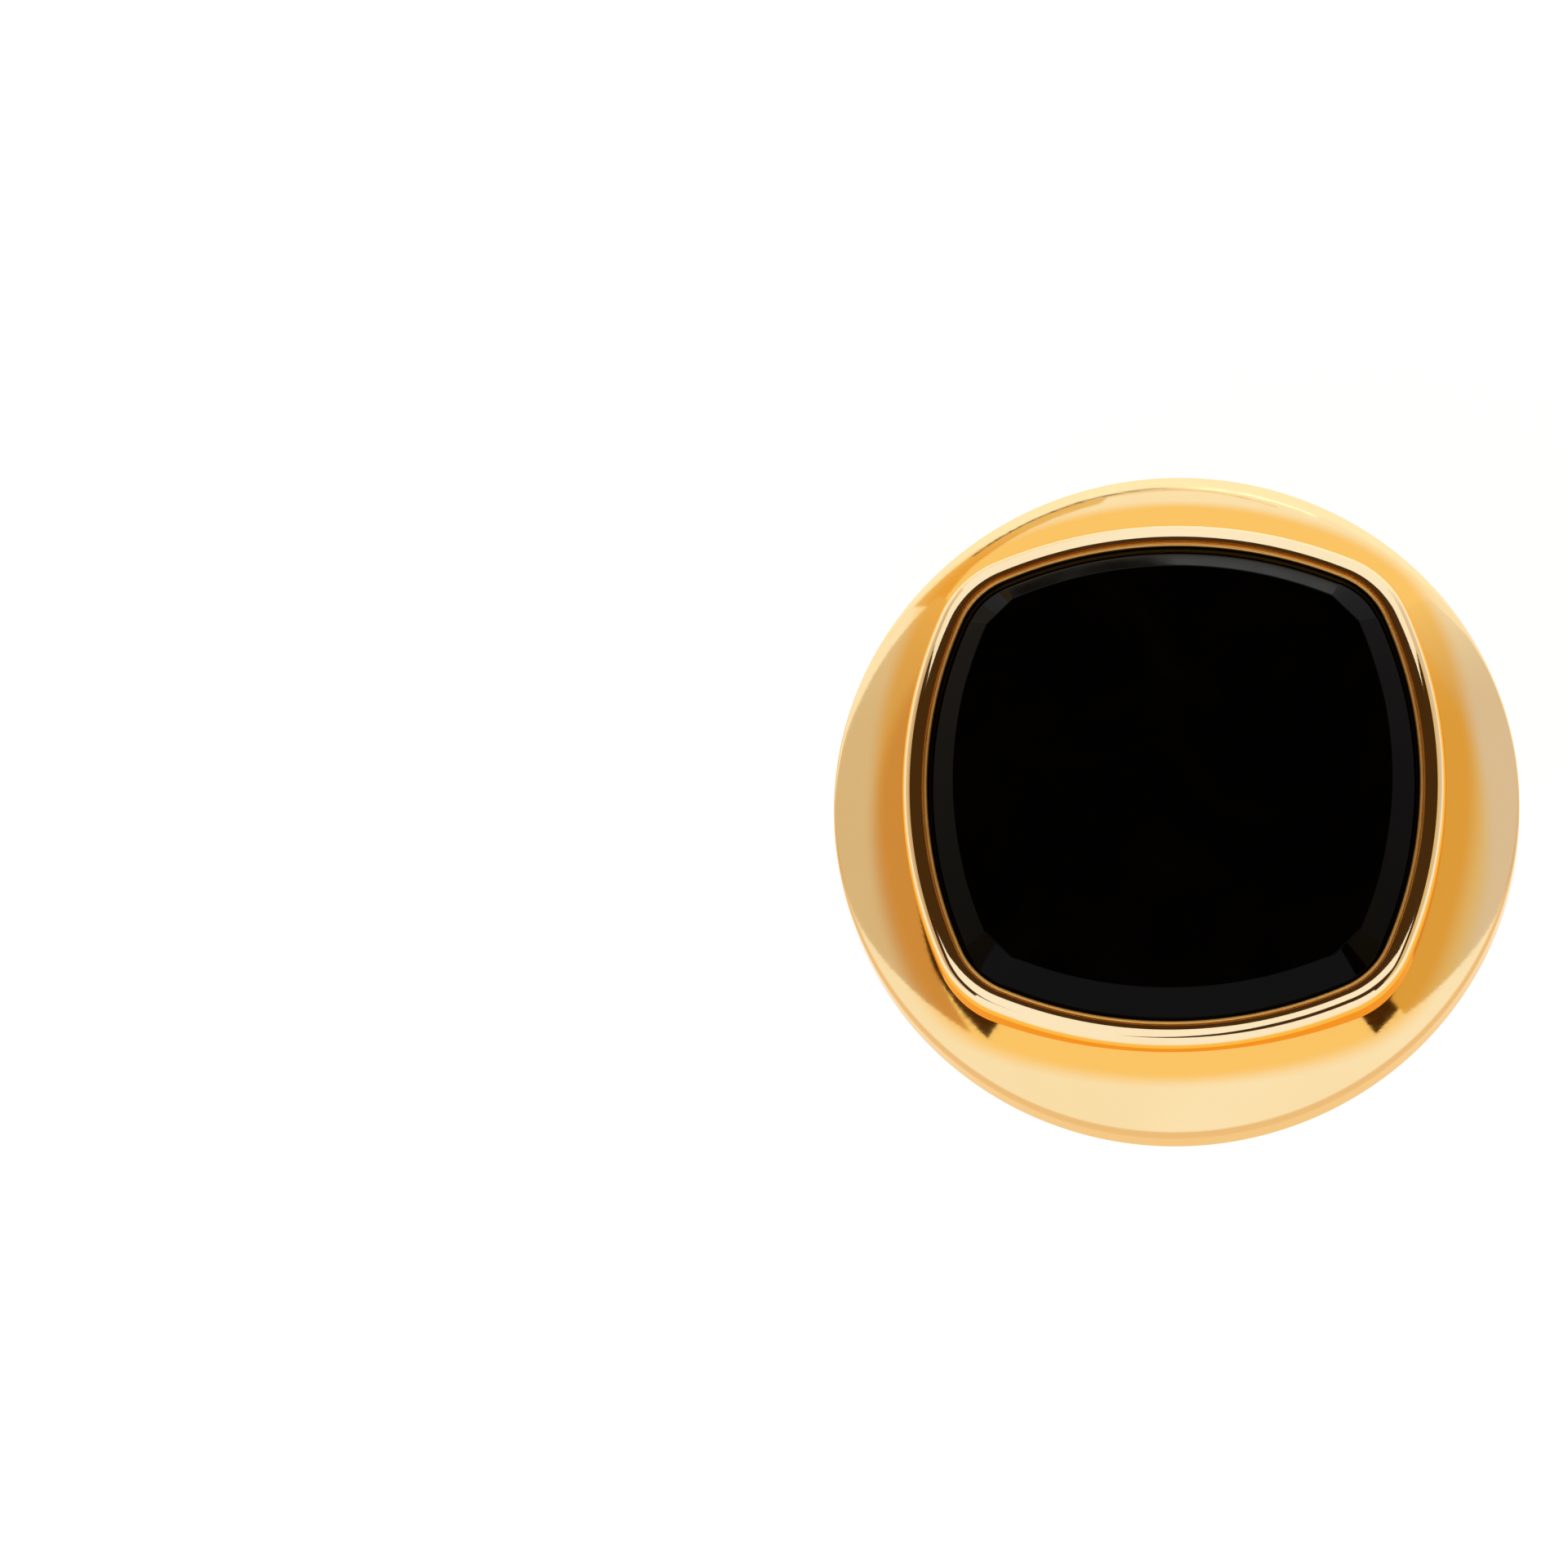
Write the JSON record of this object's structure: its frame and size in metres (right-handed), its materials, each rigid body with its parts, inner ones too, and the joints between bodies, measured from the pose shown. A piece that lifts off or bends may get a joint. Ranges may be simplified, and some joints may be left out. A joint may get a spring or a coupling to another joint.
{
  "type": "cufflink",
  "caption": "Round domed gold cufflink with a raised cushion bezel around a flat black stone, on a post with a sprung swivel bar that turns to pass the buttonhole.",
  "frame": {"origin": "centre of the back plate's back face, where the head rests on the cuff", "axes": "+Z out of the stone's table, the post along -Z, the swivel bar along X at rest and its pin along Y"},
  "size_m": [0.02, 0.02, 0.0164],
  "materials": {
    "gold": "polished yellow gold",
    "onyx": "polished black",
    "steel": "satin"
  },
  "bodies": {
    "head": {"dome_shell": "gold", "bezel_frame": "gold", "bearing_strip": "gold", "onyx_tablet": "onyx", "back_plate": "gold", "post": "gold"},
    "toggle": {"toggle_barrel": "gold", "toggle_cap_left": "gold", "toggle_cap_right": "gold", "hinge_pin": "steel", "flat_spring": "steel"}
  },
  "joints": [
    {"name": "toggle_swivel", "type": "hinge", "parent": "head", "child": "toggle", "pos_m": [0, 0, -0.0096], "axis": [0, 1, 0], "range_deg": [-90, 90]}
  ]
}
